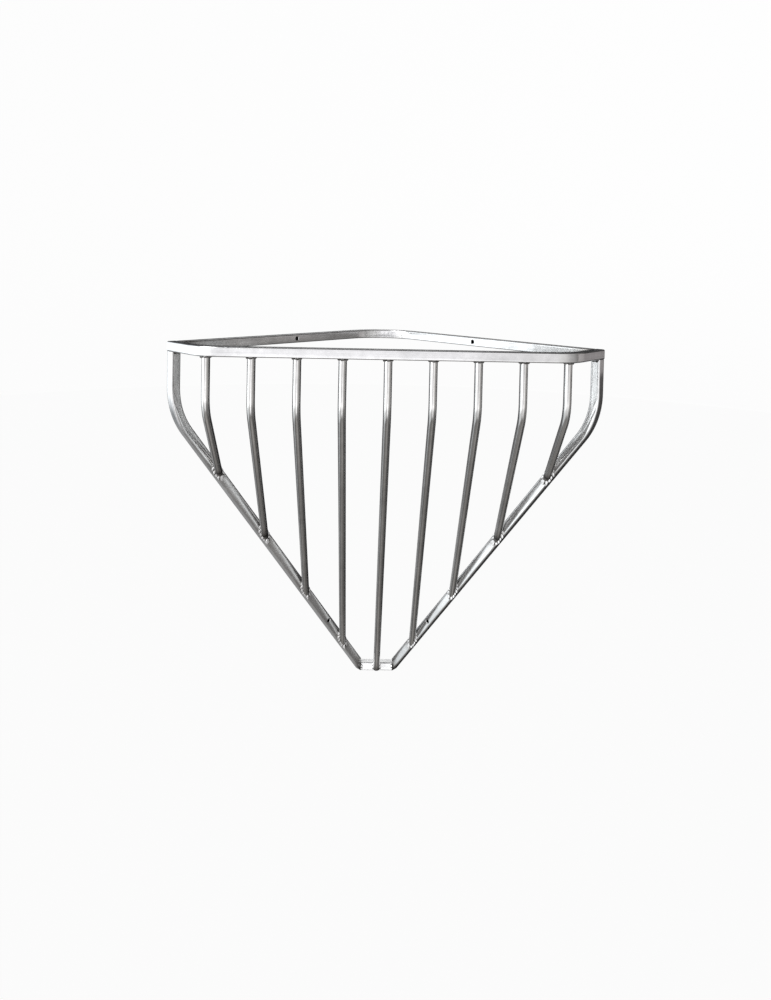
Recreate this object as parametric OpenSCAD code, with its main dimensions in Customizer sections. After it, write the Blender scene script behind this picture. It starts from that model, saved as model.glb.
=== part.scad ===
// Corner hay rack feeder.
// A welded frame of square steel tube carries a row of bent round bars, and screws into the
// corner of two walls. The origin is where the two walls meet, level with the middle of the rim.
// +Z is up and the open front faces -Y. The walls are the two vertical planes at 45 degrees.

/* [Tube] */
// Outside width of the square tube
tube = 20; // [18:0.5:24]
// Wall thickness of the square tube
tube_wall = 1.5; // [1:0.25:2]
// Outside radius of the tube's corners
tube_corner = 3; // [2.5:0.25:4]

/* [Rim] */
// Length of the rim along each wall, from the room corner to its end
leg = 624; // [600:1:660]
// Outside radius of the back rail's bend in the room corner
corner_bend = 120; // [80:5:160]
// Distance from the room corner to the front face of the front rail
front_reach = 524; // [510:1:545]
// Outside radius of the two bends in the front rail
front_bend = 85; // [60:5:130]

/* [Sides] */
// Height of the whole rack
height = 876; // [800:1:920]
// Depth below the rim's middle at which the side members turn inwards
side_drop = 137; // [120:1:170]
// Outside radius of the bend in each side member
side_bend = 170; // [100:5:180]
// Distance of the side members' outer edge from the room corner, at the bottom
foot = 76; // [66:1:90]

/* [Bars] */
// Number of round bars
bar_count = 9; // [9]
// Diameter of the round bars
bar_d = 16; // [12:0.5:17]
// Distance between neighbouring bars
bar_pitch = 87; // [80:0.5:90]
// Depth below the rim's middle at which the bars turn back towards the wall
bar_drop = 114; // [100:0.5:140]
// Radius of each bar's bend, to its middle line
bar_bend = 80; // [50:5:110]
// Height at which the middle bar meets the bottom crossbar, above its lower face
bar_seat = 6; // [4:0.5:9]
// Height of the middle bar's cut end, above the crossbar's lower face
bar_trim = 4; // [2:0.5:6]

/* [Screw holes] */
// Diameter of the screw holes through the rim and the side members
hole_d = 9; // [5:0.5:11]
// Distance of the rim's screw holes from the room corner
rim_hole = 306; // [200:1:400]
// Distance of the side members' screw holes from the room corner
side_hole = 190.5; // [175:0.5:215]

/* [Welds] */
// Leg length of the weld beads
weld = 3.5; // [1.5:0.25:4]

/* [Hidden] */
$fn = 48;
steel = [0.70, 0.71, 0.72];
zinc = [0.80, 0.81, 0.82];
bead = [0.62, 0.62, 0.61];
tube_half = tube / 2;
bar_r = bar_d / 2;
bottom = tube_half - height;
far = 2 * leg;

// The bends of the bars and side members are a hair fuller than the straight runs, which start a
// little way inside them.
bend_swell = 0.05;
joint_lap = 1;

// The front rail's middle line and its bends of 45 degrees.
front_turn = 45;
front_corner_x = leg * sqrt(2) - front_reach;
front_tangent = front_bend * tan(front_turn / 2);
front_straight = front_corner_x - front_tangent;
front_stub = front_reach * sqrt(2) - leg - front_tangent;
front_arc = front_bend - tube_half;

// The side members lean back in the plane of their wall, at side_lean from the vertical.
side_lean = atan((leg - foot) / (-bottom - side_drop));
side_tangent = side_bend * tan(side_lean / 2);
side_arc = side_bend - tube_half;

// The crossbar's front corners, where the side members' room faces are at their lowest.
crossbar_front = -(foot + tube) / sqrt(2);
crossbar_half = (foot - tube) / sqrt(2);

// Bars are numbered from 1 at the left; each keeps to its own upright plane.
middle_bar = (bar_count + 1) / 2;
function bar_x(k) = (k - middle_bar) * bar_pitch;

// Middle line of the front rail in plan, straight and then bending back.
function rail_y(x) = let (past = max(0, abs(x) - front_straight))
    front_bend - front_reach - sqrt(front_arc * front_arc - past * past);

// Height of a side member's middle line at a distance from the room corner.
function side_z(along) =
    -side_drop + tube_half * sin(side_lean)
    - (leg - tube_half * cos(side_lean) - along) / tan(side_lean);

// Where a bar's middle line meets the steel it is welded to, as [y, z].
function bar_foot(k) = k == middle_bar
    ? [crossbar_front, bottom + bar_seat]
    : [-abs(bar_x(k)) - tube * sqrt(2), side_z(abs(bar_x(k)) * sqrt(2) + tube)];
function bar_top(k) = [rail_y(bar_x(k)), -bar_drop];
function bar_lean(k) = let (a = bar_top(k), b = bar_foot(k)) atan((b[0] - a[0]) / (a[1] - b[1]));
function bend_tangent(k) = bar_bend * tan(bar_lean(k) / 2);

// ---- Tube sections -------------------------------------------------------------------------

module rounded_square(side, r) {
    square([side, side - 2 * r], center = true);
    square([side - 2 * r, side], center = true);
    for (x = [-1, 1], y = [-1, 1])
        translate([x, y] * (side / 2 - r)) circle(r);
}

module tube_section(swell = 0) {
    difference() {
        rounded_square(tube + 2 * swell, tube_corner + swell);
        rounded_square(tube - 2 * (tube_wall + swell), tube_corner - tube_wall - swell);
    }
}

// A straight length of tube along +X, its middle line on the X axis.
module straight_tube(length) {
    rotate([90, 0, 90]) linear_extrude(length) tube_section();
}

// A bend of tube in the XY plane about the origin.
module bent_tube(radius, from, turn, swell = 0) {
    rotate([0, 0, from])
        rotate_extrude(angle = turn, $fn = 128)
            translate([radius, 0]) tube_section(swell);
}

// ---- Placing -------------------------------------------------------------------------------

// Local X runs out along the left wall from the room corner, and local Y away from that wall.
module on_left_wall() {
    rotate([0, 0, 225]) children();
}

module on_right_wall() {
    mirror([1, 0, 0]) on_left_wall() children();
}

module on_wall_of(x) {
    if (x < 0) on_left_wall() children();
    else on_right_wall() children();
}

// Everything behind the room-facing faces of the side members, in a wall's own axes.
module behind_side_face() {
    translate([-far, tube - far, -far]) cube([2 * far, far, 2 * far]);
}

// ---- Screw holes ---------------------------------------------------------------------------

module screw_hole(along, z) {
    translate([along, -tube, z]) rotate([-90, 0, 0]) cylinder(h = 3 * tube, d = hole_d);
}

// ---- Rim -----------------------------------------------------------------------------------

// About the middle of the bend, with the right run along -Y and the left run along -X.
module back_rail_shape() {
    arc = corner_bend - tube_half;
    run = leg - tube - corner_bend;
    translate([0, -corner_bend * sqrt(2), 0])
        rotate([0, 0, 45]) {
            bent_tube(arc, 0, 90);
            translate([arc, 0, 0]) rotate([0, 0, -90]) straight_tube(run);
            translate([0, arc, 0]) rotate([0, 0, 180]) straight_tube(run);
        }
}

module back_rail() {
    color(zinc)
        difference() {
            back_rail_shape();
            for (side = [-1, 1]) on_wall_of(side) screw_hole(rim_hole, 0);
        }
}

module front_rail_half() {
    translate([front_straight, tube_half - front_reach, 0]) {
        rotate([0, 0, 180]) straight_tube(front_straight);
        translate([0, front_arc, 0]) {
            bent_tube(front_arc, -90, front_turn);
            rotate([0, 0, front_turn]) translate([0, -front_arc, 0]) straight_tube(front_stub);
        }
    }
}

module front_rail() {
    color(zinc) {
        front_rail_half();
        mirror([1, 0, 0]) front_rail_half();
    }
}

// ---- Side members --------------------------------------------------------------------------

// In a wall's own axes: down from the rim's end, round the bend, then along the wall to the foot.
module side_member_run() {
    bend_z = side_tangent - side_drop;
    translate([leg - tube_half, tube_half, bend_z]) {
        translate([0, 0, -joint_lap])
            rotate([0, -90, 0]) straight_tube(joint_lap - bend_z - tube_half);
        translate([-side_arc, 0, 0]) {
            rotate([90, 0, 0]) bent_tube(side_arc, -side_lean, side_lean, bend_swell);
            rotate([0, side_lean, 0])
                translate([side_arc, 0, joint_lap])
                    rotate([0, 90, 0]) straight_tube((bend_z - bottom) / cos(side_lean));
        }
    }
}

// The foot is cut level at the bottom, and upright where it meets the crossbar's end.
module side_member(side) {
    color(steel)
        difference() {
            on_wall_of(side)
                difference() {
                    side_member_run();
                    screw_hole(side_hole, side_z(side_hole));
                }
            translate([-far, -far, bottom - far]) cube([2 * far, 2 * far, far]);
            translate([-crossbar_half, -foot * sqrt(2), bottom - tube])
                cube([2 * crossbar_half, foot * sqrt(2), 4 * tube]);
        }
}

// ---- Bottom crossbar -----------------------------------------------------------------------

module bottom_crossbar() {
    color(steel)
        translate([-crossbar_half, crossbar_front + tube_half, bottom + tube_half])
            straight_tube(2 * crossbar_half);
}

// ---- Bars ----------------------------------------------------------------------------------

// Puts its children where a bar's straight top ends and its bend begins.
module at_bend(k) {
    top = bar_top(k);
    translate([bar_x(k), top[0], top[1] + bend_tangent(k)]) children();
}

// The same, carried round the bend and turned so that -Z runs on down the bar.
module past_bend(k) {
    at_bend(k)
        translate([0, bar_bend, 0])
            rotate([bar_lean(k), 0, 0])
                translate([0, -bar_bend, 0]) children();
}

// The lower, leaning run of a bar, made to any radius and carried on past its foot.
module leaning_run(k, r) {
    run = norm(bar_foot(k) - bar_top(k)) + 2 * bar_d;
    past_bend(k) translate([0, 0, -run]) cylinder(h = run + joint_lap, r = r);
}

// What a bar's foot is cut back to: the face that it is welded to, and the bottom of the rack.
module bar_limits(k) {
    end = k == middle_bar ? bottom + bar_trim : bottom;
    if (k == middle_bar) translate([-far, crossbar_front, bottom - far]) cube(2 * far);
    else on_wall_of(bar_x(k)) behind_side_face();
    translate([-far, -far, end - far]) cube([2 * far, 2 * far, far]);
}

module bar(k) {
    color(zinc) {
        at_bend(k) {
            translate([0, 0, -joint_lap])
                cylinder(h = bar_drop - tube_half - bend_tangent(k) + joint_lap, r = bar_r);
            translate([0, bar_bend, 0])
                rotate([90, 0, 90])
                    rotate([0, 0, 180])
                        rotate_extrude(angle = bar_lean(k), $fn = 128)
                            translate([bar_bend, 0]) circle(bar_r + bend_swell);
        }
        difference() {
            leaning_run(k, bar_r);
            bar_limits(k);
        }
    }
}

// ---- Welds ---------------------------------------------------------------------------------

// A cone of weld under the front rail, in the two nooks beside the bar.
module bar_top_weld(k) {
    color(bead)
        translate([bar_x(k), bar_top(k)[0], -tube_half - weld])
            intersection() {
                difference() {
                    cylinder(h = weld, r1 = bar_r + weld / 4, r2 = bar_r + weld);
                    translate([0, 0, -weld]) cylinder(h = 3 * weld, r = bar_r);
                }
                translate([-tube, -bar_r + weld, -weld]) cube([2 * tube, bar_d - 2 * weld, tube]);
            }
}

// A collar of weld around a bar's foot, on the face that the bar is welded to.
module bar_foot_weld(k) {
    along = abs(bar_x(k)) * sqrt(2) + tube;
    color(bead)
        difference() {
            intersection() {
                leaning_run(k, bar_r + weld);
                if (k == middle_bar)
                    translate([-tube, crossbar_front - weld, bottom + bar_trim])
                        cube([2 * tube, weld, tube - bar_trim]);
                else
                    on_wall_of(bar_x(k))
                        translate([along, tube, side_z(along)])
                            rotate([0, side_lean, 0])
                                translate([-tube_half, 0, -2 * tube]) cube([tube, weld, 4 * tube]);
            }
            leaning_run(k, bar_r);
        }
}

// An upright bead inside the rim, where the back rail's end meets the front rail.
module rim_weld(side) {
    color(bead)
        on_wall_of(side)
            difference() {
                translate([leg - tube, tube, tube_corner - tube_half])
                    cylinder(h = tube - 2 * tube_corner, r = weld);
                translate([leg - tube, -tube, -tube]) cube(2 * tube);
                translate([leg - 3 * tube, -tube, -tube]) cube(2 * tube);
            }
}

// A bead under the front rail's stub, across the room face of the side member.
module side_weld(side) {
    color(bead)
        on_wall_of(side)
            difference() {
                translate([leg - tube + tube_corner, tube, -tube_half])
                    rotate([0, 90, 0]) cylinder(h = tube - 2 * tube_corner, r = weld);
                translate([leg - 2 * tube, -tube, -2 * tube]) cube([3 * tube, 2 * tube, 3 * tube]);
                translate([leg - 2 * tube, -tube, -tube_half]) cube([3 * tube, 3 * tube, tube]);
            }
}

// An upright bead in the corner between the crossbar's front and a side member.
module crossbar_weld(side) {
    color(bead)
        difference() {
            translate([side * crossbar_half, crossbar_front, bottom + tube_corner])
                cylinder(h = tube - 2 * tube_corner, r = weld);
            translate([-foot, crossbar_front, bottom]) cube([2 * foot, tube, tube]);
            on_wall_of(side) behind_side_face();
        }
}

// ---- Assembly ------------------------------------------------------------------------------

back_rail();
front_rail();
side_member(-1);  // side_member_left
side_member(1);  // side_member_right
bottom_crossbar();
for (k = [1:bar_count]) {
    bar(k);
    bar_top_weld(k);
    bar_foot_weld(k);
}
rim_weld(-1);  // rim_weld_left
rim_weld(1);  // rim_weld_right
side_weld(-1);  // side_weld_left
side_weld(1);  // side_weld_right
crossbar_weld(-1);  // crossbar_weld_left
crossbar_weld(1);  // crossbar_weld_right
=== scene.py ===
"""Corner hay rack feeder: the visual model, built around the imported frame, in metres."""

import math
import random
from types import SimpleNamespace

import bmesh
import bpy
from mathutils import Matrix, Vector, noise


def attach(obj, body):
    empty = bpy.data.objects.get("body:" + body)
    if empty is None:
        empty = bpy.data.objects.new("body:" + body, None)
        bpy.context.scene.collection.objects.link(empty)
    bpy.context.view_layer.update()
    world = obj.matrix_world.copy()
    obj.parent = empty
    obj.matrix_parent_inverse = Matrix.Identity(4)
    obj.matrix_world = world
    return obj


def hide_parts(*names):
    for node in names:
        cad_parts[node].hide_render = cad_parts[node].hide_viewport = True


# ---- The rack's driving sizes, as in the part's source --------------------------------------
MM = 0.001
TUBE = 20 * MM
TUBE_WALL = 1.5 * MM
TUBE_CORNER = 3 * MM
LEG = 624 * MM
CORNER_BEND = 120 * MM
FRONT_REACH = 524 * MM
FRONT_BEND = 85 * MM
HEIGHT = 876 * MM
SIDE_DROP = 137 * MM
SIDE_BEND = 170 * MM
FOOT = 76 * MM
BAR_COUNT = 9
BAR_D = 16 * MM
BAR_PITCH = 87 * MM
BAR_DROP = 114 * MM
BAR_BEND = 80 * MM
BAR_SEAT = 6 * MM
BAR_TRIM = 4 * MM
HOLE_R = 4.5 * MM
RIM_HOLE = 306 * MM
SIDE_HOLE = 190.5 * MM
WELD = 3.5 * MM

HALF = TUBE / 2
BAR_R = BAR_D / 2
BOTTOM = HALF - HEIGHT
S = math.sqrt(0.5)
SIDE_LEAN = math.atan((LEG - FOOT) / (-BOTTOM - SIDE_DROP))
SIDE_TANGENT = SIDE_BEND * math.tan(SIDE_LEAN / 2)
CROSSBAR_FRONT = -(FOOT + TUBE) * S
CROSSBAR_HALF = (FOOT - TUBE) * S
FRONT_TANGENT = FRONT_BEND * math.tan(math.pi / 8)
FRONT_STRAIGHT = LEG / S - FRONT_REACH - FRONT_TANGENT
FRONT_STUB = FRONT_REACH / S - LEG - FRONT_TANGENT
FRONT_ARC = FRONT_BEND - HALF
MIDDLE_BAR = (BAR_COUNT + 1) // 2
SIDES = ((-1, "left"), (1, "right"))
DOWN = Vector((0, 0, -1))


def bar_x(k):
    return (k - MIDDLE_BAR) * BAR_PITCH


def bar_side(k):
    return 1 if bar_x(k) > 0 else -1


def rail_y(x):
    """The front rail's middle line, straight in the middle and bent back at both ends."""
    past = max(0.0, abs(x) - FRONT_STRAIGHT)
    return FRONT_BEND - FRONT_REACH - math.sqrt(FRONT_ARC**2 - past**2)


def side_z(along):
    """The height of a side member's leaning run, this far along its wall."""
    inset = LEG - HALF * math.cos(SIDE_LEAN) - along
    return -SIDE_DROP + HALF * math.sin(SIDE_LEAN) - inset / math.tan(SIDE_LEAN)


def bar_foot(k):
    """Where a bar's middle line meets the face that it is welded to."""
    if k == MIDDLE_BAR:
        return Vector((bar_x(k), CROSSBAR_FRONT, BOTTOM + BAR_SEAT))
    x = abs(bar_x(k))
    return Vector((bar_x(k), -x - TUBE / S, side_z(x / S + TUBE)))


def bar_top(k):
    """Where a bar's upright and its lower run would meet if it weren't bent round."""
    return Vector((bar_x(k), rail_y(bar_x(k)), -BAR_DROP))


def bar_axis(k):
    """The way a bar's lower run points, down to its foot."""
    return (bar_foot(k) - bar_top(k)).normalized()


def wall(side, along, off, z=0.0):
    """A point by its distance along a wall from the room corner, and its distance off the wall."""
    return Vector((side * (along - off) * S, -(along + off) * S, z))


def into_room(side):
    return Vector((-side * S, -S, 0))


def out_along(side):
    return Vector((side * S, -S, 0))


# ---- Camera and studio ----------------------------------------------------------------------
CAMERA_AT = (-0.04144, -1.88005, 0.15896)
CAMERA_YAW = 0.0242
CAMERA_PITCH = 0.0261
CAMERA_ROLL = 0.0218
CAMERA_SENSOR = 36
CAMERA_LENS = 25.787
CAMERA_SHIFT = -0.21

FLOOR_Z = -1.25
FLOOR_RADIUS = 7.0
FLOOR_CURVE = 3.0
FLOOR_TOP = 9.0
FLOOR_TURNS = 96
FLOOR_STEPS = 24
FLOOR_SHADE = (0.02, 0.02, 0.02, 1)
FLOOR_GLOW = 0.965
WHITE = (1, 1, 1, 1)

KEY_LAMP = {"at": (-2.6, -2.6, 2.6), "target": (0, -0.3, -0.4), "size": (2.6, 2.6), "power": 170}
# a small card close to the rim's right end, which mirrors it
CARD_LAMP = {
    "at": (0.85, -0.45, -0.045),
    "target": (0.42, -0.47, -0.03),
    "size": (0.34, 0.10),
    "power": 0.035,
    "colour": (1, 0.93, 0.94),
}

# the studio wall's light by direction, in degrees from straight in front, right is positive
WALL_LEVEL = 2.2
BACK_LIGHT = (0.010, 0.010, 0.011)
WALL_LIGHT = (
    (-140, (0.012, 0.012, 0.013)),
    (-118, (0.20, 0.21, 0.22)),
    (-100, (0.93, 0.97, 1.00)),
    (-70, (0.94, 0.98, 1.00)),
    (-48, (0.98, 0.98, 0.98)),
    (-22, (0.62, 0.62, 0.635)),
    (0, (0.56, 0.555, 0.57)),
    (30, (0.46, 0.455, 0.45)),
    (60, (0.225, 0.220, 0.218)),
    (76, (0.110, 0.105, 0.102)),
    (97, (0.096, 0.092, 0.090)),
    (108, (0.016, 0.015, 0.015)),
)
# what is left of it low down and overhead: the heights of direction it fades between, the share
LOW_WALL = (-0.30, -0.55, 0.40)
HIGH_WALL = (0.45, 0.75, 0.06)
# the ground's light, and the heights of direction it comes in between
GROUND_LIGHT = (0.100, 0.096, 0.092)
GROUND_FROM = (-0.68, -0.88)
# soft patches of light: direction, the cosines where each starts and is full, colour
PATCHES = (
    ((0.0, -0.86, -0.50), 0.90, 0.995, (0.80, 0.80, 0.80)),
    ((0.0, 0.87, 0.49), 0.94, 0.99, (1.50, 1.50, 1.50)),
    ((-0.32, 0.67, -0.67), 0.85, 0.97, (0.30, 0.30, 0.30)),
    ((0.85, -0.18, -0.50), 0.84, 0.97, (0.045, 0.045, 0.045)),
    ((0.0, -0.19, -0.98), 0.84, 0.98, (0.19, 0.182, 0.175)),
)

# most of a noise texture's values lie between these two
NOISE_LOW = 0.35
NOISE_HIGH = 0.65
NOISE_ROUGHNESS = 0.55


class Nodes:
    """The emptied node tree of a material or a world, with short ways to add to it."""

    def __init__(self, owner):
        owner.use_nodes = True
        self.tree = owner.node_tree
        self.tree.nodes.clear()

    def add(self, kind, inputs=None, **settings):
        """Adds a node. An input is given either a value or another node's output."""
        made = self.tree.nodes.new(kind)
        for key, value in settings.items():
            setattr(made, key, value)
        for key, value in (inputs or {}).items():
            if isinstance(value, bpy.types.NodeSocket):
                self.tree.links.new(value, made.inputs[key])
            else:
                made.inputs[key].default_value = value
        return made

    def maths(self, operation, *values):
        return self.add("ShaderNodeMath", dict(enumerate(values)), operation=operation).outputs[0]

    def fold(self, operation, first, *rest):
        """The sum or the product of several values."""
        result = first
        for value in rest:
            result = self.maths(operation, result, value)
        return result

    def vectors(self, operation, inputs, output=0):
        return self.add("ShaderNodeVectorMath", inputs, operation=operation).outputs[output]

    def scaled(self, colour, by):
        return self.vectors("SCALE", {0: colour, "Scale": by})

    def mix(self, factor, a, b, blend="MIX"):
        inputs = {"Factor": factor, "A": a, "B": b}
        made = self.add("ShaderNodeMix", inputs, data_type="RGBA", blend_type=blend)
        return made.outputs["Result"]

    def fade(self, value, start, end):
        """Goes smoothly from 0 at the start to 1 at the end."""
        inputs = {"Value": value, "From Min": start, "From Max": end}
        made = self.add("ShaderNodeMapRange", inputs, interpolation_type="SMOOTHSTEP")
        return made.outputs["Result"]

    def spread(self, value, low, high, start=NOISE_LOW, end=NOISE_HIGH):
        """Lays a value's own range over low to high."""
        inputs = {"Value": value, "From Min": start, "From Max": end, "To Min": low, "To Max": high}
        return self.add("ShaderNodeMapRange", inputs).outputs["Result"]

    def noise(self, vector, scale, detail):
        inputs = {"Vector": vector, "Scale": scale, "Detail": detail, "Roughness": NOISE_ROUGHNESS}
        return self.add("ShaderNodeTexNoise", inputs).outputs["Fac"]

    def stretched(self, vector, scale):
        return self.add("ShaderNodeMapping", {"Vector": vector, "Scale": scale}).outputs[0]


def add_camera():
    data = bpy.data.cameras.new("camera")
    data.sensor_fit = "AUTO"
    data.sensor_width = CAMERA_SENSOR
    data.lens = CAMERA_LENS
    data.shift_y = CAMERA_SHIFT
    camera = bpy.data.objects.new("camera", data)
    bpy.context.collection.objects.link(camera)
    turn = (
        Matrix.Rotation(-CAMERA_YAW, 4, "Z")
        @ Matrix.Rotation(math.pi / 2 - CAMERA_PITCH, 4, "X")
        @ Matrix.Rotation(CAMERA_ROLL, 4, "Z")
    )
    camera.matrix_world = Matrix.Translation(CAMERA_AT) @ turn
    bpy.context.scene.camera = camera


def add_area(name, at, target, size, power, colour=(1, 1, 1)):
    """A rectangular lamp that faces its target."""
    data = bpy.data.lights.new(name, "AREA")
    data.shape = "RECTANGLE"
    data.size, data.size_y = size
    data.energy = power
    data.color = colour
    lamp = bpy.data.objects.new(name, data)
    lamp.location = at
    aim = Vector(target) - Vector(at)
    lamp.rotation_euler = aim.to_track_quat("-Z", "Y").to_euler()
    bpy.context.collection.objects.link(lamp)


def wall_light(nodes, x, y):
    """The studio wall's light in the level direction x, y, from the table of directions."""
    # degrees round from straight in front (0), positive to the right, negative to the left
    round_about = nodes.maths("DEGREES", nodes.maths("ARCTAN2", x, nodes.maths("MULTIPLY", y, -1.0)))
    turn = nodes.maths("ADD", nodes.maths("DIVIDE", round_about, 360.0), 0.5)
    table = nodes.add("ShaderNodeValToRGB", {0: turn})
    steps = table.color_ramp.elements
    for i, place in enumerate((0.0, 1.0)):
        steps[i].position = place
        steps[i].color = (*BACK_LIGHT, 1)
    for angle, colour in WALL_LIGHT:
        steps.new(angle / 360 + 0.5).color = (*colour, 1)
    table.color_ramp.interpolation = "EASE"
    return nodes.scaled(table.outputs["Color"], WALL_LEVEL)


def add_world():
    """A studio that is bright to the left, softer in front, and dark to the right and behind.
    The steel mirrors it; the camera itself sees only the pale floor."""
    world = bpy.data.worlds.new("studio")
    bpy.context.scene.world = world
    nodes = Nodes(world)
    where = nodes.add("ShaderNodeTexCoord").outputs["Generated"]
    x, y, z = nodes.add("ShaderNodeSeparateXYZ", {0: where}).outputs

    def left_over(start, end, share):
        """How much light is left at this height: all up to the start, and a share past the end."""
        return nodes.maths("ADD", nodes.maths("MULTIPLY", nodes.fade(z, start, end), share - 1), 1.0)

    by_height = nodes.maths("MULTIPLY", left_over(*LOW_WALL), left_over(*HIGH_WALL))
    light = nodes.scaled(wall_light(nodes, x, y), by_height)
    light = nodes.mix(nodes.fade(z, *GROUND_FROM), light, (*GROUND_LIGHT, 1))
    for aim, start, full, colour in PATCHES:
        cosine = nodes.vectors("DOT_PRODUCT", {0: where, 1: Vector(aim).normalized()}, "Value")
        patch = nodes.scaled(colour, nodes.fade(cosine, start, full))
        light = nodes.vectors("ADD", {0: light, 1: patch})
    shine = nodes.add("ShaderNodeBackground", {"Color": light, "Strength": 1.0})
    nodes.add("ShaderNodeOutputWorld", {"Surface": shine.outputs[0]})


def floor_material():
    """A pale glow, the same from every side, with a trace of diffuse shading."""
    material = bpy.data.materials.new("pale_floor")
    nodes = Nodes(material)
    shade = nodes.add("ShaderNodeBsdfDiffuse", {"Color": FLOOR_SHADE})
    glow = nodes.add("ShaderNodeEmission", {"Color": WHITE, "Strength": FLOOR_GLOW})
    both = nodes.add("ShaderNodeAddShader", {0: shade.outputs[0], 1: glow.outputs[0]})
    nodes.add("ShaderNodeOutputMaterial", {"Surface": both.outputs[0]})
    return material


def add_floor():
    """A floor that curves up far away. It is seen, but isn't mirrored in the steel."""
    profile = []
    for i in range(FLOOR_STEPS + 1):
        a = i / FLOOR_STEPS * math.pi / 2
        profile.append((FLOOR_RADIUS + FLOOR_CURVE * math.sin(a), FLOOR_CURVE * (1 - math.cos(a))))
    profile.append((FLOOR_RADIUS + FLOOR_CURVE, FLOOR_TOP))
    build = bmesh.new()
    rings = []
    for r, z in profile:
        points = circle(r, FLOOR_TURNS)
        rings.append([build.verts.new((p.x, p.y, z + FLOOR_Z)) for p in points])
    build.faces.new(rings[0])
    join_rings(build, rings)
    floor = to_object("floor", build)
    for face in floor.data.polygons:
        face.use_smooth = True
    floor.data.materials.append(floor_material())
    floor.visible_diffuse = False
    floor.visible_glossy = False
    floor.visible_transmission = False
    floor.visible_shadow = False


def add_studio():
    add_world()
    add_floor()
    add_area("key", **KEY_LAMP)
    add_area("card", **CARD_LAMP)
    scene = bpy.context.scene
    scene.view_settings.view_transform = "Standard"
    scene.view_settings.look = "None"


# ---- Materials ------------------------------------------------------------------------------

# a mesh keeps under this name how near each of its points is to a weld, from 0 to 1, for the weld's
# heat tint and the painted shade at its joint; a bead keeps there its painted shade under the rail
# and between its puddles
HEAT_AND_SHADE = "weld_heat_and_shade"
# what a weld's heat tint, with painted shade at the joint, leaves of the steel's red, green and blue,
# more so in some patches
WARMED = (0.52, 0.49, 0.46)
WARM_PATCHES = (0.55, 1.0)
# right at a weld it is scorched and darkened with painted shade in the joint: the higher the power,
# the closer to the weld
SCORCH_AND_SHADE_COLOUR = (0.030, 0.029, 0.028, 1)
SCORCH_AND_SHADE_POWER = 3.0
SCORCH_ROUGHNESS = 0.35

# the drawing lines' noise, stretched along the length (U) and packed round the girth (V)
FINE_LINES = (3.0, 900.0, 1.0)
BROAD_LINES = (1.2, 160.0, 1.0)
# the scales of the mottling, and of the waves in the surface, in cells to the metre
CLOUD_SCALE = 9.0
BLOTCH_SCALE = 46.0
WAVE_SCALE = 38.0

# the share of its own shade that the steel keeps where each pattern is darkest and lightest
CLOUD_SHADE = (0.90, 1.06)
BLOTCH_SHADE = (0.94, 1.04)
# how much the drawing lines darken and lighten it
FINE_SHADE = (0.07, 0.05)
BROAD_SHADE = (0.16, 0.11)
# how far each pattern changes the roughness either way
CLOUD_ROUGH = 0.03
FINE_ROUGH = 0.02
SPANGLE_ROUGH = 0.015
# what the broad lines and the waves add to the bumps
BROAD_HEIGHT = 0.25
WAVE_HEIGHT = 0.9
BUMP = {"Strength": 0.35, "Distance": 0.0004}


def steel_patterns(nodes, grain):
    """The patterns that the steel's colour, roughness and bumps are made from."""
    where = nodes.add("ShaderNodeTexCoord").outputs
    cells = {"Vector": where["Object"], "Scale": grain, "Randomness": 1.0}
    cells = nodes.add("ShaderNodeTexVoronoi", cells).outputs["Color"]
    # the weld marks: heat tint, and painted shade at the joints, under the rail and between a bead's
    # puddles
    heat_and_shade = nodes.add("ShaderNodeAttribute", attribute_name=HEAT_AND_SHADE).outputs["Fac"]
    return SimpleNamespace(
        fine=nodes.noise(nodes.stretched(where["UV"], FINE_LINES), 1.0, 3.0),
        broad=nodes.noise(nodes.stretched(where["UV"], BROAD_LINES), 1.0, 2.0),
        cloud=nodes.noise(where["Object"], CLOUD_SCALE, 5.0),
        blotch=nodes.noise(where["Object"], BLOTCH_SCALE, 3.0),
        wave=nodes.noise(where["Object"], WAVE_SCALE, 1.0),
        cell=nodes.add("ShaderNodeSeparateColor", {0: cells}).outputs[0],
        heat_and_shade=heat_and_shade,
        # where the marks are strongest: scorch, with painted shade in the joints
        scorch_and_shade=nodes.maths("POWER", heat_and_shade, SCORCH_AND_SHADE_POWER),
    )


def steel_colour(nodes, steel, tone, spangle, streaks):
    """The zinc's tone, warmed and scorched by the welds and darkened there with painted shade, with
    mottling, spangle and lines.
    """

    def streaked(value, darker, lighter):
        return nodes.spread(value, 1 - darker * streaks, 1 + lighter * streaks)

    warmth = nodes.maths("MULTIPLY", steel.heat_and_shade, nodes.spread(steel.blotch, *WARM_PATCHES))
    warmed = [part * left for part, left in zip(tone, WARMED)]
    colour = nodes.mix(warmth, (*tone, 1), (*warmed, 1))
    # scorched, and darkened with painted shade at the joints, under the rail and between a bead's
    # puddles
    colour = nodes.mix(steel.scorch_and_shade, colour, SCORCH_AND_SHADE_COLOUR)
    shade = nodes.fold(
        "MULTIPLY",
        nodes.spread(steel.cloud, *CLOUD_SHADE),
        nodes.spread(steel.blotch, *BLOTCH_SHADE),
        streaked(steel.fine, *FINE_SHADE),
        streaked(steel.broad, *BROAD_SHADE),
        nodes.spread(steel.cell, 1 - spangle, 1 + spangle, 0.0, 1.0),
    )
    grey = nodes.add("ShaderNodeCombineColor", {i: shade for i in range(3)}).outputs[0]
    return nodes.mix(1.0, colour, grey, "MULTIPLY")


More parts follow.
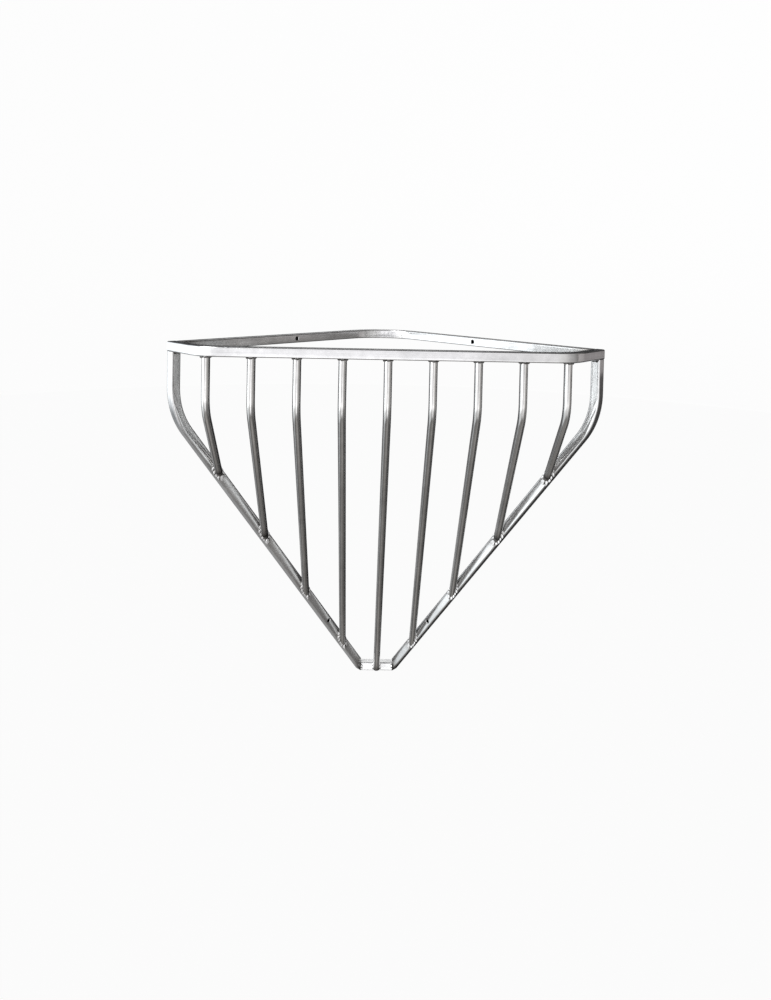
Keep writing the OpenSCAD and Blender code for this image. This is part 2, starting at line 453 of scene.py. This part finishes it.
def steel_roughness(nodes, steel, rough):
    return nodes.fold(
        "ADD",
        nodes.spread(steel.cloud, rough - CLOUD_ROUGH, rough + CLOUD_ROUGH),
        nodes.spread(steel.fine, -FINE_ROUGH, FINE_ROUGH),
        nodes.spread(steel.cell, -SPANGLE_ROUGH, SPANGLE_ROUGH, 0.0, 1.0),
        nodes.maths("MULTIPLY", steel.scorch_and_shade, SCORCH_ROUGHNESS),
    )


def steel_bumps(nodes, steel):
    height = nodes.fold(
        "ADD",
        nodes.maths("MULTIPLY", steel.broad, BROAD_HEIGHT),
        nodes.maths("MULTIPLY", steel.wave, WAVE_HEIGHT),
    )
    return nodes.add("ShaderNodeBump", {"Height": height, **BUMP}).outputs[0]


def steel_material(name, tone, grain, spangle, rough, metal, streaks=1.0):
    """Zinc-coated steel: soft mottling, a faint spangle, and drawing lines along the length."""
    material = bpy.data.materials.new(name)
    nodes = Nodes(material)
    steel = steel_patterns(nodes, grain)
    inputs = {
        "Metallic": metal,
        "Base Color": steel_colour(nodes, steel, tone, spangle, streaks),
        "Roughness": steel_roughness(nodes, steel, rough),
        "Normal": steel_bumps(nodes, steel),
    }
    surface = nodes.add("ShaderNodeBsdfPrincipled", inputs)
    nodes.add("ShaderNodeOutputMaterial", {"Surface": surface.outputs[0]})
    return material


# ---- Mesh building --------------------------------------------------------------------------

# points along each flat and each round corner of a tube, and round a bar or a screw hole
FLAT_POINTS = 6
CORNER_POINTS = 6
ROUND_POINTS = 40
# a bend moves only a profile's outer points: from this share of its reach, over the rest of it
DENT_FROM = 0.8
DENT_OVER = 0.2
RAIL_DENT = 0.7 * MM
MEMBER_DENT = 1.1 * MM
# how far a screw hole's edges are eased, and how far its cutter goes past the tube
HOLE_EASE = 0.9 * MM
OVERSHOOT = 2 * MM
# how far a weld's heat tint and the painted shade at its joint show, and how they die away
HEAT_AND_SHADE_REACH = 16 * MM
BAR_HEAT_AND_SHADE_REACH = 12 * MM
HEAT_AND_SHADE_FADE = 1.5
# edges that turn by more than this stay sharp
SHARP = math.radians(38)
FLAT_WEIGHT = 100


class Line:
    """The middle line of a tube or bar, laid in one plane: straight runs and round bends."""

    def __init__(self, start, heading, towards):
        """towards is the side that a positive bend turns to."""
        self.at = Vector(start)
        self.heading = Vector(heading).normalized()
        self.normal = self.heading.cross(Vector(towards)).normalized()
        self.far = 0.0
        self.stations = []
        self.keep_station(0.0)

    def keep_station(self, bent):
        self.stations.append((self.at.copy(), self.heading.copy(), self.far, bent))

    def straight(self, length, steps):
        for _ in range(steps):
            self.at += self.heading * (length / steps)
            self.far += length / steps
            self.keep_station(0.0)

    def bend(self, radius, angle, steps):
        """Angle is positive towards the given side. Each station keeps how much it is bent: 0 at
        the bend's ends, and 1 or -1 in its middle."""
        sense = 1 if angle > 0 else -1
        centre = self.at + self.normal.cross(self.heading) * radius * sense
        for i in range(steps):
            turn = Matrix.Rotation(angle / steps, 3, self.normal)
            self.at = centre + turn @ (self.at - centre)
            self.heading = turn @ self.heading
            self.far += radius * abs(angle) / steps
            self.keep_station(sense * math.sin(math.pi * (i + 1) / steps) ** 2)


def rounded_square(side, corner):
    """Points round a square with round corners, the flats split so that they can be dented."""
    reach = side / 2 - corner
    points = []
    for q in range(4):
        turn = Matrix.Rotation(q * math.pi / 2, 2)
        for i in range(FLAT_POINTS):
            points.append(turn @ Vector((side / 2, -reach + 2 * reach * i / FLAT_POINTS)))
        for i in range(CORNER_POINTS):
            a = i / CORNER_POINTS * math.pi / 2
            points.append(turn @ Vector((reach + corner * math.cos(a), reach + corner * math.sin(a))))
    return points


def circle(radius, count):
    turns = [i * math.tau / count for i in range(count)]
    return [Vector((radius * math.cos(t), radius * math.sin(t))) for t in turns]


def spokes(axis, count):
    """Unit vectors all round an axis, square to it."""
    across = axis.orthogonal().normalized()
    other = axis.cross(across)
    return [across * p.x + other * p.y for p in circle(1.0, count)]


def join_rings(build, rings):
    """Faces between each ring of vertices and the next."""
    for low, high in zip(rings, rings[1:]):
        for i in range(len(low)):
            j = (i + 1) % len(low)
            build.faces.new((low[i], low[j], high[j], high[i]))


def pressed(u, v, bent, dent, reach):
    """Where a bend moves a point of a tube's profile: the bend's inner face is drawn in, and the
    faces beside it swell."""
    if bent and u * bent > 0:
        pull = dent * abs(bent) * max(0.0, 1 - (v / reach) ** 2)
        pull *= max(0.0, (abs(u) - DENT_FROM * reach) / (DENT_OVER * reach))
        u -= math.copysign(pull, u)
    if bent:
        swell = dent * abs(bent) * max(0.0, 1 - (u / reach) ** 2)
        v += math.copysign(swell * max(0.0, abs(v) / reach - DENT_FROM) / DENT_OVER, v)
    return u, v


def skin(build, uv, line, profile, dent=0.0, inward=False):
    """Sweeps a closed profile along a line, and returns the first and last ring of vertices."""
    count = len(profile)
    reach = max(p.x for p in profile)
    girth = [0.0]
    for a, b in zip(profile, profile[1:] + profile[:1]):
        girth.append(girth[-1] + (b - a).length)
    rings = []
    for at, heading, _, bent in line.stations:
        side = line.normal.cross(heading)
        ring = []
        for p in profile:
            u, v = pressed(p.x, p.y, bent, dent, reach)
            ring.append(build.verts.new(at + side * u + line.normal * v))
        rings.append(ring)
    for n, (low, high) in enumerate(zip(rings, rings[1:])):
        near, far = line.stations[n][2], line.stations[n + 1][2]
        for i in range(count):
            j = (i + 1) % count
            corners = [(low[i], near, girth[i]), (low[j], near, girth[i + 1])]
            corners += [(high[j], far, girth[i + 1]), (high[i], far, girth[i])]
            if not inward:
                corners.reverse()
            face = build.faces.new([c[0] for c in corners])
            face.smooth = True
            for loop, (_, along, around) in zip(face.loops, corners):
                loop[uv].uv = (along, around)
    return rings[0], rings[-1]


def bridge(build, outer, inner, flip):
    """A flat ring of faces between a tube's outer and inner skin, at one end."""
    for i in range(len(outer)):
        j = (i + 1) % len(outer)
        corners = [outer[i], outer[j], inner[j], inner[i]]
        if flip:
            corners.reverse()
        build.faces.new(corners)


def to_object(name, build):
    mesh = bpy.data.meshes.new(name)
    build.to_mesh(mesh)
    build.free()
    thing = bpy.data.objects.new(name, mesh)
    bpy.context.collection.objects.link(thing)
    return thing


def tube(name, line, dent=0.0):
    """A hollow square tube along a line. The inner side of each bend is drawn in a little."""
    build = bmesh.new()
    uv = build.loops.layers.uv.new("UVMap")
    outer = rounded_square(TUBE, TUBE_CORNER)
    inner = rounded_square(TUBE - 2 * TUBE_WALL, TUBE_CORNER - TUBE_WALL)
    out_first, out_last = skin(build, uv, line, outer, dent)
    in_first, in_last = skin(build, uv, line, inner, dent, inward=True)
    bridge(build, out_first, in_first, False)
    bridge(build, out_last, in_last, True)
    bmesh.ops.recalc_face_normals(build, faces=build.faces)
    return to_object(name, build)


def rod(name, line, radius):
    """A solid round bar along a line."""
    build = bmesh.new()
    uv = build.loops.layers.uv.new("UVMap")
    first, last = skin(build, uv, line, circle(radius, ROUND_POINTS))
    build.faces.new(first)
    build.faces.new(list(reversed(last)))
    bmesh.ops.recalc_face_normals(build, faces=build.faces)
    return to_object(name, build)


def cut(thing, cutters):
    """Takes the cutters away from a mesh, and keeps the result as its own mesh."""
    for cutter in cutters:
        change = thing.modifiers.new("cut", "BOOLEAN")
        change.operation = "DIFFERENCE"
        change.solver = "EXACT"
        change.object = cutter
    bpy.context.view_layer.update()
    graph = bpy.context.evaluated_depsgraph_get()
    result = bpy.data.meshes.new_from_object(thing.evaluated_get(graph))
    thing.modifiers.clear()
    old = thing.data
    thing.data = result
    bpy.data.meshes.remove(old)
    for cutter in cutters:
        mesh = cutter.data
        bpy.data.objects.remove(cutter)
        bpy.data.meshes.remove(mesh)


def slice_off(thing, planes):
    """Cuts a mesh at planes, each a point and the way to the waste, and closes each cut."""
    build = bmesh.new()
    build.from_mesh(thing.data)
    for point, away in planes:
        found = bmesh.ops.bisect_plane(
            build,
            geom=build.verts[:] + build.edges[:] + build.faces[:],
            plane_co=point,
            plane_no=away,
            clear_outer=True,
        )
        rim = [e for e in found["geom_cut"] if isinstance(e, bmesh.types.BMEdge)]
        bmesh.ops.holes_fill(build, edges=rim)
    build.to_mesh(thing.data)
    build.free()


def block(low, high):
    """A plain box, used only as a cutter."""
    build = bmesh.new()
    bmesh.ops.create_cube(build, size=1)
    for v in build.verts:
        v.co = Vector([(low[i] + high[i]) / 2 + v.co[i] * (high[i] - low[i]) for i in range(3)])
    return to_object("cutter", build)


def drill(at, axis):
    """A screw hole's cutter, with its edges eased where it breaks the tube's faces."""
    axis = Vector(axis).normalized()
    wide = HOLE_R + HOLE_EASE + OVERSHOOT
    steps = [(-HALF - OVERSHOOT, wide), (-HALF + HOLE_EASE, HOLE_R)]
    steps += [(HALF - HOLE_EASE, HOLE_R), (HALF + OVERSHOOT, wide)]
    build = bmesh.new()
    rings = []
    for along, r in steps:
        middle = Vector(at) + axis * along
        rings.append([build.verts.new(middle + out * r) for out in spokes(axis, ROUND_POINTS)])
    build.faces.new(list(reversed(rings[0])))
    build.faces.new(rings[-1])
    join_rings(build, rings)
    bmesh.ops.recalc_face_normals(build, faces=build.faces)
    return to_object("cutter", build)


def heat_and_shade_marks(thing, spots, reach):
    """Stores how near each point is to a weld, from 0 far away to 1 on it, for the heat tint and the
    painted shade at the joint. A weld's own mesh has its marks already."""
    mesh = thing.data
    if HEAT_AND_SHADE in mesh.attributes:
        return
    marks = mesh.attributes.new(HEAT_AND_SHADE, "FLOAT", "POINT")
    for i, v in enumerate(mesh.vertices):
        near = min(((v.co - s).length for s in spots), default=math.inf) - BAR_R
        # near a weld: its heat tint, and painted shade in the joint
        marks.data[i].value = max(0.0, 1 - max(0.0, near) / reach) ** HEAT_AND_SHADE_FADE


def finish_piece(thing, material, replaced, spots=(), reach=HEAT_AND_SHADE_REACH):
    """Sharp edges, flat faces kept flat, material, body and the CAD node it stands for."""
    mesh = thing.data
    mesh.materials.clear()
    mesh.materials.append(material)
    for face in mesh.polygons:
        face.use_smooth = True
    heat_and_shade_marks(thing, spots, reach)
    build = bmesh.new()
    build.from_mesh(mesh)
    for edge in build.edges:
        edge.smooth = not (len(edge.link_faces) == 2 and edge.calc_face_angle(0) > SHARP)
    build.to_mesh(mesh)
    build.free()
    flat = thing.modifiers.new("flat", "WEIGHTED_NORMAL")
    flat.keep_sharp = True
    flat.weight = FLAT_WEIGHT
    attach(thing, "root")
    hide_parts(*replaced)


# ---- Tubes ----------------------------------------------------------------------------------

# how high the side members' feet are cut back, clear of the crossbar's ends
FOOT_CUT = 4 * TUBE


def hole_cutter(side, along, z=0.0):
    """A drill through both walls of a wall-side tube, this far from the room corner."""
    return drill(wall(side, along, HALF, z), into_room(side))


def rim_joints():
    """Where the back rail and the front rail are welded together."""
    return [wall(side, LEG - TUBE, TUBE) for side, _ in SIDES]


def add_back_rail(material):
    line = Line(wall(-1, LEG - TUBE, HALF), -out_along(-1), out_along(1))
    run = LEG - TUBE - CORNER_BEND
    line.straight(run, steps=8)
    line.bend(CORNER_BEND - HALF, math.pi / 2, steps=48)
    line.straight(run, steps=8)
    rail = tube("back_rail_steel", line, RAIL_DENT)
    cut(rail, [hole_cutter(side, RIM_HOLE) for side, _ in SIDES])
    finish_piece(rail, material, ["back_rail"], rim_joints())


def add_front_rail(material):
    line = Line(wall(-1, LEG - HALF, 0), into_room(-1), Vector((1, 0, 0)))
    line.straight(FRONT_STUB, steps=3)
    line.bend(FRONT_ARC, math.pi / 4, steps=32)
    line.straight(2 * FRONT_STRAIGHT, steps=14)
    line.bend(FRONT_ARC, math.pi / 4, steps=32)
    line.straight(FRONT_STUB, steps=3)
    rail = tube("front_rail_steel", line, RAIL_DENT)
    finish_piece(rail, material, ["front_rail"], rim_joints())


def add_side_member(side, name, material):
    """A tube that drops from the rim's end, bends, and leans back to the crossbar. Its foot is
    cut off level, and cut back where the crossbar's end meets it."""
    bend_at = SIDE_TANGENT - SIDE_DROP
    line = Line(wall(side, LEG - HALF, HALF, -HALF), DOWN, -out_along(side))
    line.straight(-HALF - bend_at, steps=4)
    line.bend(SIDE_BEND - HALF, SIDE_LEAN, steps=40)
    line.straight((line.at.z - BOTTOM) / math.cos(SIDE_LEAN) + TUBE, steps=24)
    member = tube(f"side_member_{name}_steel", line, MEMBER_DENT)
    far = 2 * LEG
    below = block((-far, -far, BOTTOM - far), (far, far, BOTTOM))
    between = block(
        (-CROSSBAR_HALF, -FOOT / S, BOTTOM - TUBE), (CROSSBAR_HALF, 0, BOTTOM + FOOT_CUT)
    )
    cut(member, [hole_cutter(side, SIDE_HOLE, side_z(SIDE_HOLE)), below, between])
    spots = [bar_foot(k) for k in range(1, BAR_COUNT + 1) if bar_x(k) * side > 0]
    spots.append(Vector((side * CROSSBAR_HALF, CROSSBAR_FRONT, BOTTOM + HALF)))
    finish_piece(member, material, [f"side_member_{name}"], spots)


def add_crossbar(material):
    at = Vector((-CROSSBAR_HALF, CROSSBAR_FRONT + HALF, BOTTOM + HALF))
    line = Line(at, (1, 0, 0), (0, 1, 0))
    line.straight(2 * CROSSBAR_HALF, steps=6)
    bar = tube("bottom_crossbar_steel", line)
    finish_piece(bar, material, ["bottom_crossbar"])


# ---- Bars -----------------------------------------------------------------------------------

# how far a bar goes into the rail above it, and into the face at its foot
BAR_TOP_SINK = 0.4 * MM
BAR_FOOT_SINK = 0.3 * MM


def foot_plane(k):
    """A point and the outward normal of the steel face that a bar's foot is welded to."""
    if k == MIDDLE_BAR:
        return bar_foot(k), Vector((0, -1, 0))
    return bar_foot(k), into_room(bar_side(k))


def add_bar(k, material):
    """A bar that drops from the front rail, bends, and leans back to its foot, where it is cut
    to the face that it meets. The middle bar is also trimmed level, clear of the bottom."""
    top = bar_top(k)
    lean = math.acos(max(-1.0, min(1.0, bar_axis(k).dot(DOWN))))
    tangent = BAR_BEND * math.tan(lean / 2)
    start = Vector((top.x, top.y, -HALF + BAR_TOP_SINK))
    line = Line(start, DOWN, (0, 1, 0))
    line.straight(start.z - top.z - tangent, steps=4)
    line.bend(BAR_BEND, lean, steps=28)
    line.straight((bar_foot(k) - top).length - tangent + 2 * BAR_D, steps=12)
    bar = rod(f"bar_{k}_steel", line, BAR_R)
    at, normal = foot_plane(k)
    planes = [(at - normal * BAR_FOOT_SINK, -normal)]
    if k == MIDDLE_BAR:
        planes.append((Vector((0, 0, BOTTOM + BAR_TRIM)), DOWN))
    slice_off(bar, planes)
    finish_piece(bar, material, [f"bar_{k}"], [bar_foot(k)], BAR_HEAT_AND_SHADE_REACH)


# ---- Welds ----------------------------------------------------------------------------------

# where each kind of bead's seeds start, and how far a seed may move a bead in the noise
TOP_SEED = 20
FOOT_SEED = 40
RIM_SEED = 60
SIDE_SEED = 70
CROSSBAR_SEED = 80
SEED_REACH = 9

# a bead's puddles: their length, the size of a bead between them and what they add to it
RIPPLE = 8 * MM
VALLEY_SIZE = 0.45
PUDDLE_SIZE = 0.90
# how full a bead's section is between puddles, and what they add: 0 is flat, 1 is round
VALLEY_FULL = 0.35
PUDDLE_FULL = 0.5
# the painted shade in the gap between puddles, from the distance to a puddle's middle: times this,
# less this
GAP_STEEP = 5.0
GAP_OFF = 1.2
# unevenness of the puddles' places and of the bead's size: how much, and how many to the metre
DRIFT = (0.12, 90)
LUMPS = (0.30, 150)
GRIT = (0.08, 900)
BEAD_STEPS = 8
BEAD_SINK = 0.4 * MM
BEAD_GIRTH = 10 * MM

# painted shade under the rail darkens a bead from a little at its first toe to this much at its
# second
UNDER_RAIL_SHADE = 1.0
UNDER_RAIL_SHADE_FROM = 0.2

# the size of a bead at a bar's foot and at its top, as shares of WELD, and the extra weight below
FOOT_SIZE = 0.95
FOOT_HEAVY = 0.60
TOP_SIZE = 0.72
FOOT_POINTS = 260
TOP_POINTS = 180
# a foot's bead stays this far inside its face's edges, but is never smaller than the least
EDGE_ROOM = 0.5 * MM
FOOT_LEAST = 2.4 * MM
LEAST_SLANT = 0.05
# the middle bar's bead stops this far below the crossbar's top
END_ROOM = 1 * MM
# unevenness round a bar: how much, how fine, and how far apart the bars are in the noise
FOOT_UNEVEN = (0.15, 2, 9)
TOP_UNEVEN = (0.22, 1.7, 11)

STRAIGHT_POINTS = 70
# the taper at a straight bead's ends: the share of its length left off, and how blunt it is
TAPER_FROM = 0.03
TAPER_POWER = 0.35
WELD_INSET = TUBE_CORNER * 0.7
SIDE_WELD = WELD * 1.25
CROSSBAR_WELD = WELD * 1.2


def uneven(at, amount, fineness):
    """Up to about this amount either way, and the same each time at the same place."""
    return amount * noise.noise(at * fineness)


def uneven_round(radial, bar_at, amount, fineness, apart):
    """The same, smoothly round a bar and different from bar to bar."""
    return amount * noise.noise(radial * fineness + bar_at * apart)


def fillet(point, up, out, size, full):
    """A bead's section: a point sunk in the corner, then from the toe up one face to the toe out
    over the other. The fuller it is, the prouder it stands of a straight line between them."""
    section = [point - (up + out) * BEAD_SINK]
    for i in range(BEAD_STEPS + 1):
        share = i / BEAD_STEPS
        a = share * math.pi / 2
        u = (1 - share) * (1 - full) + math.cos(a) * full
        o = share * (1 - full) + math.sin(a) * full
        section.append(point + up * size * u + out * size * o)
    return section


def bead(node, contacts, material, seed, closed=True, under_rail_shade=0.0):
    """A fillet weld. Each contact is (point in the corner, way up one face, way out over the
    other, size). The bead is laid as separate round puddles, with painted shade in the gaps between
    them, and, if asked, painted shade towards the rail above."""
    draw = random.Random(seed)
    offset = Vector([draw.uniform(-SEED_REACH, SEED_REACH) for _ in range(3)])
    length = sum((b[0] - a[0]).length for a, b in zip(contacts, contacts[1:]))
    ripple = length / max(1, round(length / RIPPLE))
    build = bmesh.new()
    uv = build.loops.layers.uv.new("UVMap")
    marks = build.verts.layers.float.new(HEAT_AND_SHADE)
    rings = []
    far = 0.0
    last = contacts[0][0]
    for point, up, out, size in contacts:
        far += (point - last).length
        last = point
        phase = (far / ripple + uneven(point + offset, *DRIFT)) % 1.0
        puddle = math.sqrt(max(0.0, 1 - (2 * phase - 1) ** 2))
        wobble = 1 + uneven(point + offset, *LUMPS) + uneven(point - offset, *GRIT)
        grown = size * (VALLEY_SIZE + PUDDLE_SIZE * puddle) * wobble
        section = fillet(point, up, out, grown, VALLEY_FULL + PUDDLE_FULL * puddle)
        # painted shade in the hollow between two puddles
        gap = min(1.0, max(0.0, GAP_STEEP * abs(phase - 0.5) - GAP_OFF))
        ring = []
        for i, place in enumerate(section):
            v = build.verts.new(place)
            # the marks hold painted shade: under the rail, growing across the section, and in the
            # gaps between puddles
            v[marks] = max(min(1.0, under_rail_shade * (UNDER_RAIL_SHADE_FROM + i / BEAD_STEPS)), gap)
            ring.append((v, far))
        rings.append(ring)
    count = len(rings[0])
    pairs = list(zip(rings, rings[1:]))
    if closed:
        pairs.append((rings[-1], rings[0]))
    for low, high in pairs:
        for i in range(count):
            j = (i + 1) % count
            face = build.faces.new((low[i][0], low[j][0], high[j][0], high[i][0]))
            face.smooth = True
            # short flecks in place of drawing lines, which a weld doesn't have
            for loop, around in zip(face.loops, (i / count, (i + 1) / count) * 2):
                loop[uv].uv = (low[i][1], around * BEAD_GIRTH)
    if not closed:
        build.faces.new([v for v, _ in rings[0]])
        build.faces.new([v for v, _ in reversed(rings[-1])])
    bmesh.ops.recalc_face_normals(build, faces=build.faces)
    finish_piece(to_object(f"{node}_bead", build), material, [node])


def unwrapped(contacts):
    """Starts an open bead after its gap, so that it is one run from end to end."""
    following = contacts[1:] + contacts[:1]
    gaps = [(b[0] - a[0]).length for a, b in zip(contacts, following)]
    after = gaps.index(max(gaps)) + 1
    return contacts[after:] + contacts[:after]


def foot_face(k):
    """The way across the face that a bar's foot is welded to, and how far that way its middle
    is from the foot."""
    if k == MIDDLE_BAR:
        return Vector((0, 0, 1)), BOTTOM + HALF - bar_foot(k).z
    across = -out_along(bar_side(k)) * math.cos(SIDE_LEAN) - DOWN * math.sin(SIDE_LEAN)
    return across, 0.0


def add_foot_weld(k, material):
    """A bead round a bar's foot, heavier below, and kept on the face it is laid on. The middle
    bar's bead is open: it stops at the bar's trimmed end, and short of the crossbar's top."""
    foot, normal = foot_plane(k)
    axis = bar_axis(k)
    across, middle = foot_face(k)
    contacts = []
    for radial in spokes(axis, FOOT_POINTS):
        edge = foot + radial * BAR_R
        edge -= axis * ((edge - foot).dot(normal) / axis.dot(normal))
        out = radial - normal * radial.dot(normal)
        out.normalize()
        heavy = FOOT_SIZE + FOOT_HEAVY * max(0.0, -out.z)
        size = WELD * (heavy + uneven_round(radial, foot, *FOOT_UNEVEN))
        if k == MIDDLE_BAR and not BAR_TRIM < edge.z - BOTTOM < TUBE - END_ROOM:
            continue
        aside = (edge - foot).dot(across) - middle
        if out.dot(across) * aside > 0:
            room = (HALF - EDGE_ROOM - abs(aside)) / max(LEAST_SLANT, abs(out.dot(across)))
            size = min(size, max(FOOT_LEAST, room))
        contacts.append((edge, -axis, out, size))
    closed = k != MIDDLE_BAR
    if not closed:
        contacts = unwrapped(contacts)
    bead(f"bar_foot_weld_{k}", contacts, material, FOOT_SEED + k, closed)


def add_top_weld(k, material):
    """A bead round a bar's top, under the front rail, following the rail's round lower edges."""
    top = Vector((bar_x(k), rail_y(bar_x(k)), -HALF))
    contacts = []
    for p in circle(1.0, TOP_POINTS):
        radial = p.to_3d()
        past_flat = max(0.0, abs(radial.y) * BAR_R - (HALF - TUBE_CORNER))
        lift = TUBE_CORNER - math.sqrt(TUBE_CORNER**2 - past_flat**2)
        point = top + radial * BAR_R + Vector((0, 0, lift))
        size = WELD * (TOP_SIZE + uneven_round(radial, top, *TOP_UNEVEN))
        contacts.append((point, DOWN, radial, size))
    # painted shade, most where the bead meets the rail's underside
    bead(f"bar_top_weld_{k}", contacts, material, TOP_SEED + k, under_rail_shade=UNDER_RAIL_SHADE)


def straight_bead(node, start, end, up, out, material, seed, size=WELD, under_rail_shade=0.0):
    """An open bead along a corner, tapering at both ends."""
    contacts = []
    for i in range(STRAIGHT_POINTS + 1):
        t = i / STRAIGHT_POINTS
        inside = min(max(t, TAPER_FROM), 1 - TAPER_FROM)
        taper = math.sin(math.pi * inside) ** TAPER_POWER
        contacts.append((start.lerp(end, t), up, out, size * taper))
    bead(node, contacts, material, seed, closed=False, under_rail_shade=under_rail_shade)


def add_rim_weld(side, name, material):
    """The upright bead in the inner corner where the back rail's end meets the front rail."""
    corner = wall(side, LEG - TUBE, TUBE)
    rise = Vector((0, 0, HALF - WELD_INSET))
    up = -out_along(side)
    out = into_room(side)
    seed = RIM_SEED + side
    straight_bead(f"rim_weld_{name}", corner - rise, corner + rise, up, out, material, seed)


def add_side_weld(side, name, material):
    """The bead under the rim, where a side member's top meets it, darkened with painted shadow."""
    inner = wall(side, LEG - TUBE + WELD_INSET, TUBE, -HALF)
    outer = wall(side, LEG - WELD_INSET, TUBE, -HALF)
    node = f"side_weld_{name}"
    out = into_room(side)
    seed = SIDE_SEED + side
    # twice the top beads' painted shade: the shadow in the gap under the rim
    straight_bead(node, inner, outer, DOWN, out, material, seed, SIDE_WELD, 2 * UNDER_RAIL_SHADE)


def add_crossbar_weld(side, name, material):
    """The upright bead where the crossbar's end meets a side member's foot."""
    low = Vector((side * CROSSBAR_HALF, CROSSBAR_FRONT, BOTTOM + WELD_INSET))
    high = low + Vector((0, 0, TUBE - 2 * WELD_INSET))
    node = f"crossbar_weld_{name}"
    up = Vector((0, -1, 0))
    out = Vector((-side, 0, 0))
    seed = CROSSBAR_SEED + side
    straight_bead(node, low, high, up, out, material, seed, CROSSBAR_WELD)


# ---- The model ------------------------------------------------------------------------------

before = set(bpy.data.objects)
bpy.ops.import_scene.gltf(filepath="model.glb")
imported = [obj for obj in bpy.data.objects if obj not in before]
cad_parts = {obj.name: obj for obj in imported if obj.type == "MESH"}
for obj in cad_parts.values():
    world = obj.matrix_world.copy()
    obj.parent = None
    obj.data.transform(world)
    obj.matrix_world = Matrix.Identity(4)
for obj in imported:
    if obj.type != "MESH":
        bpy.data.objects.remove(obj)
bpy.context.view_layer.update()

add_camera()
add_studio()

tube_steel = steel_material(
    "tube_steel", (0.68, 0.68, 0.68), grain=150.0, spangle=0.03, rough=0.15, metal=0.92, streaks=0.7
)
bar_steel = steel_material(
    "bar_steel", (0.66, 0.655, 0.645), grain=190.0, spangle=0.03, rough=0.14, metal=0.92, streaks=3.0
)
# painted light: the crossbar's steel is a lighter, less metallic copy of the tube steel, so that its
# front shows near white
crossbar_lit_steel = steel_material(
    "crossbar_lit_steel", (0.92, 0.92, 0.92), grain=150.0, spangle=0.03, rough=0.35, metal=0.50
)
# painted glints: the beads' own steel tone is raised to near white and made little metallic, so that
# their puddles show bright
weld_steel_and_glint = steel_material(
    "weld_steel_and_glint", (0.95, 0.95, 0.95), grain=420.0, spangle=0.04, rough=0.17, metal=0.35, streaks=0.2
)

add_back_rail(tube_steel)
add_front_rail(tube_steel)
for which, word in SIDES:
    add_side_member(which, word, tube_steel)
add_crossbar(crossbar_lit_steel)
for number in range(1, BAR_COUNT + 1):
    add_bar(number, bar_steel)
    add_top_weld(number, weld_steel_and_glint)
    add_foot_weld(number, weld_steel_and_glint)
for which, word in SIDES:
    add_rim_weld(which, word, weld_steel_and_glint)
    add_side_weld(which, word, weld_steel_and_glint)
    add_crossbar_weld(which, word, weld_steel_and_glint)
